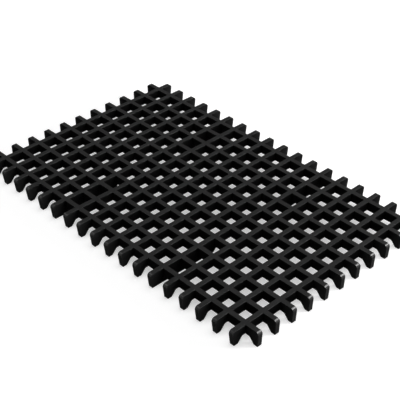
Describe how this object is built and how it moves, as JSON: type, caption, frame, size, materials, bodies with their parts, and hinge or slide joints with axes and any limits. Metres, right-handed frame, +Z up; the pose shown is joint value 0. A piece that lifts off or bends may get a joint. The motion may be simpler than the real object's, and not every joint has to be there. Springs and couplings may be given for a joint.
{
  "type": "door mat",
  "caption": "Open-grid rubber door mat of half-lapped slats, flush on top, standing on short legs at every slat end and on deep webs under the middle.",
  "frame": {"origin": "on the ground under the middle of the mat", "axes": "+X along the long side, +Y along the short side, +Z up"},
  "size_m": [0.6, 0.387, 0.0244],
  "materials": {
    "rubber": "satin black moulded rubber"
  },
  "bodies": {
    "root": {"cross_slat_01": "rubber", "cross_slat_02": "rubber", "cross_slat_03": "rubber", "cross_slat_04": "rubber", "cross_slat_05": "rubber", "support_slat_06": "rubber", "cross_slat_07": "rubber", "cross_slat_08": "rubber", "cross_slat_09": "rubber", "cross_slat_10": "rubber", "cross_slat_11": "rubber", "cross_slat_12": "rubber", "support_slat_13": "rubber", "cross_slat_14": "rubber", "cross_slat_15": "rubber", "cross_slat_16": "rubber", "cross_slat_17": "rubber", "cross_slat_18": "rubber", "long_slat_01": "rubber", "long_slat_02": "rubber", "long_slat_03": "rubber", "long_slat_04": "rubber", "long_slat_05": "rubber", "long_slat_06": "rubber", "long_slat_07": "rubber", "long_slat_08": "rubber", "long_slat_09": "rubber", "long_slat_10": "rubber", "long_slat_11": "rubber"}
  },
  "joints": []
}
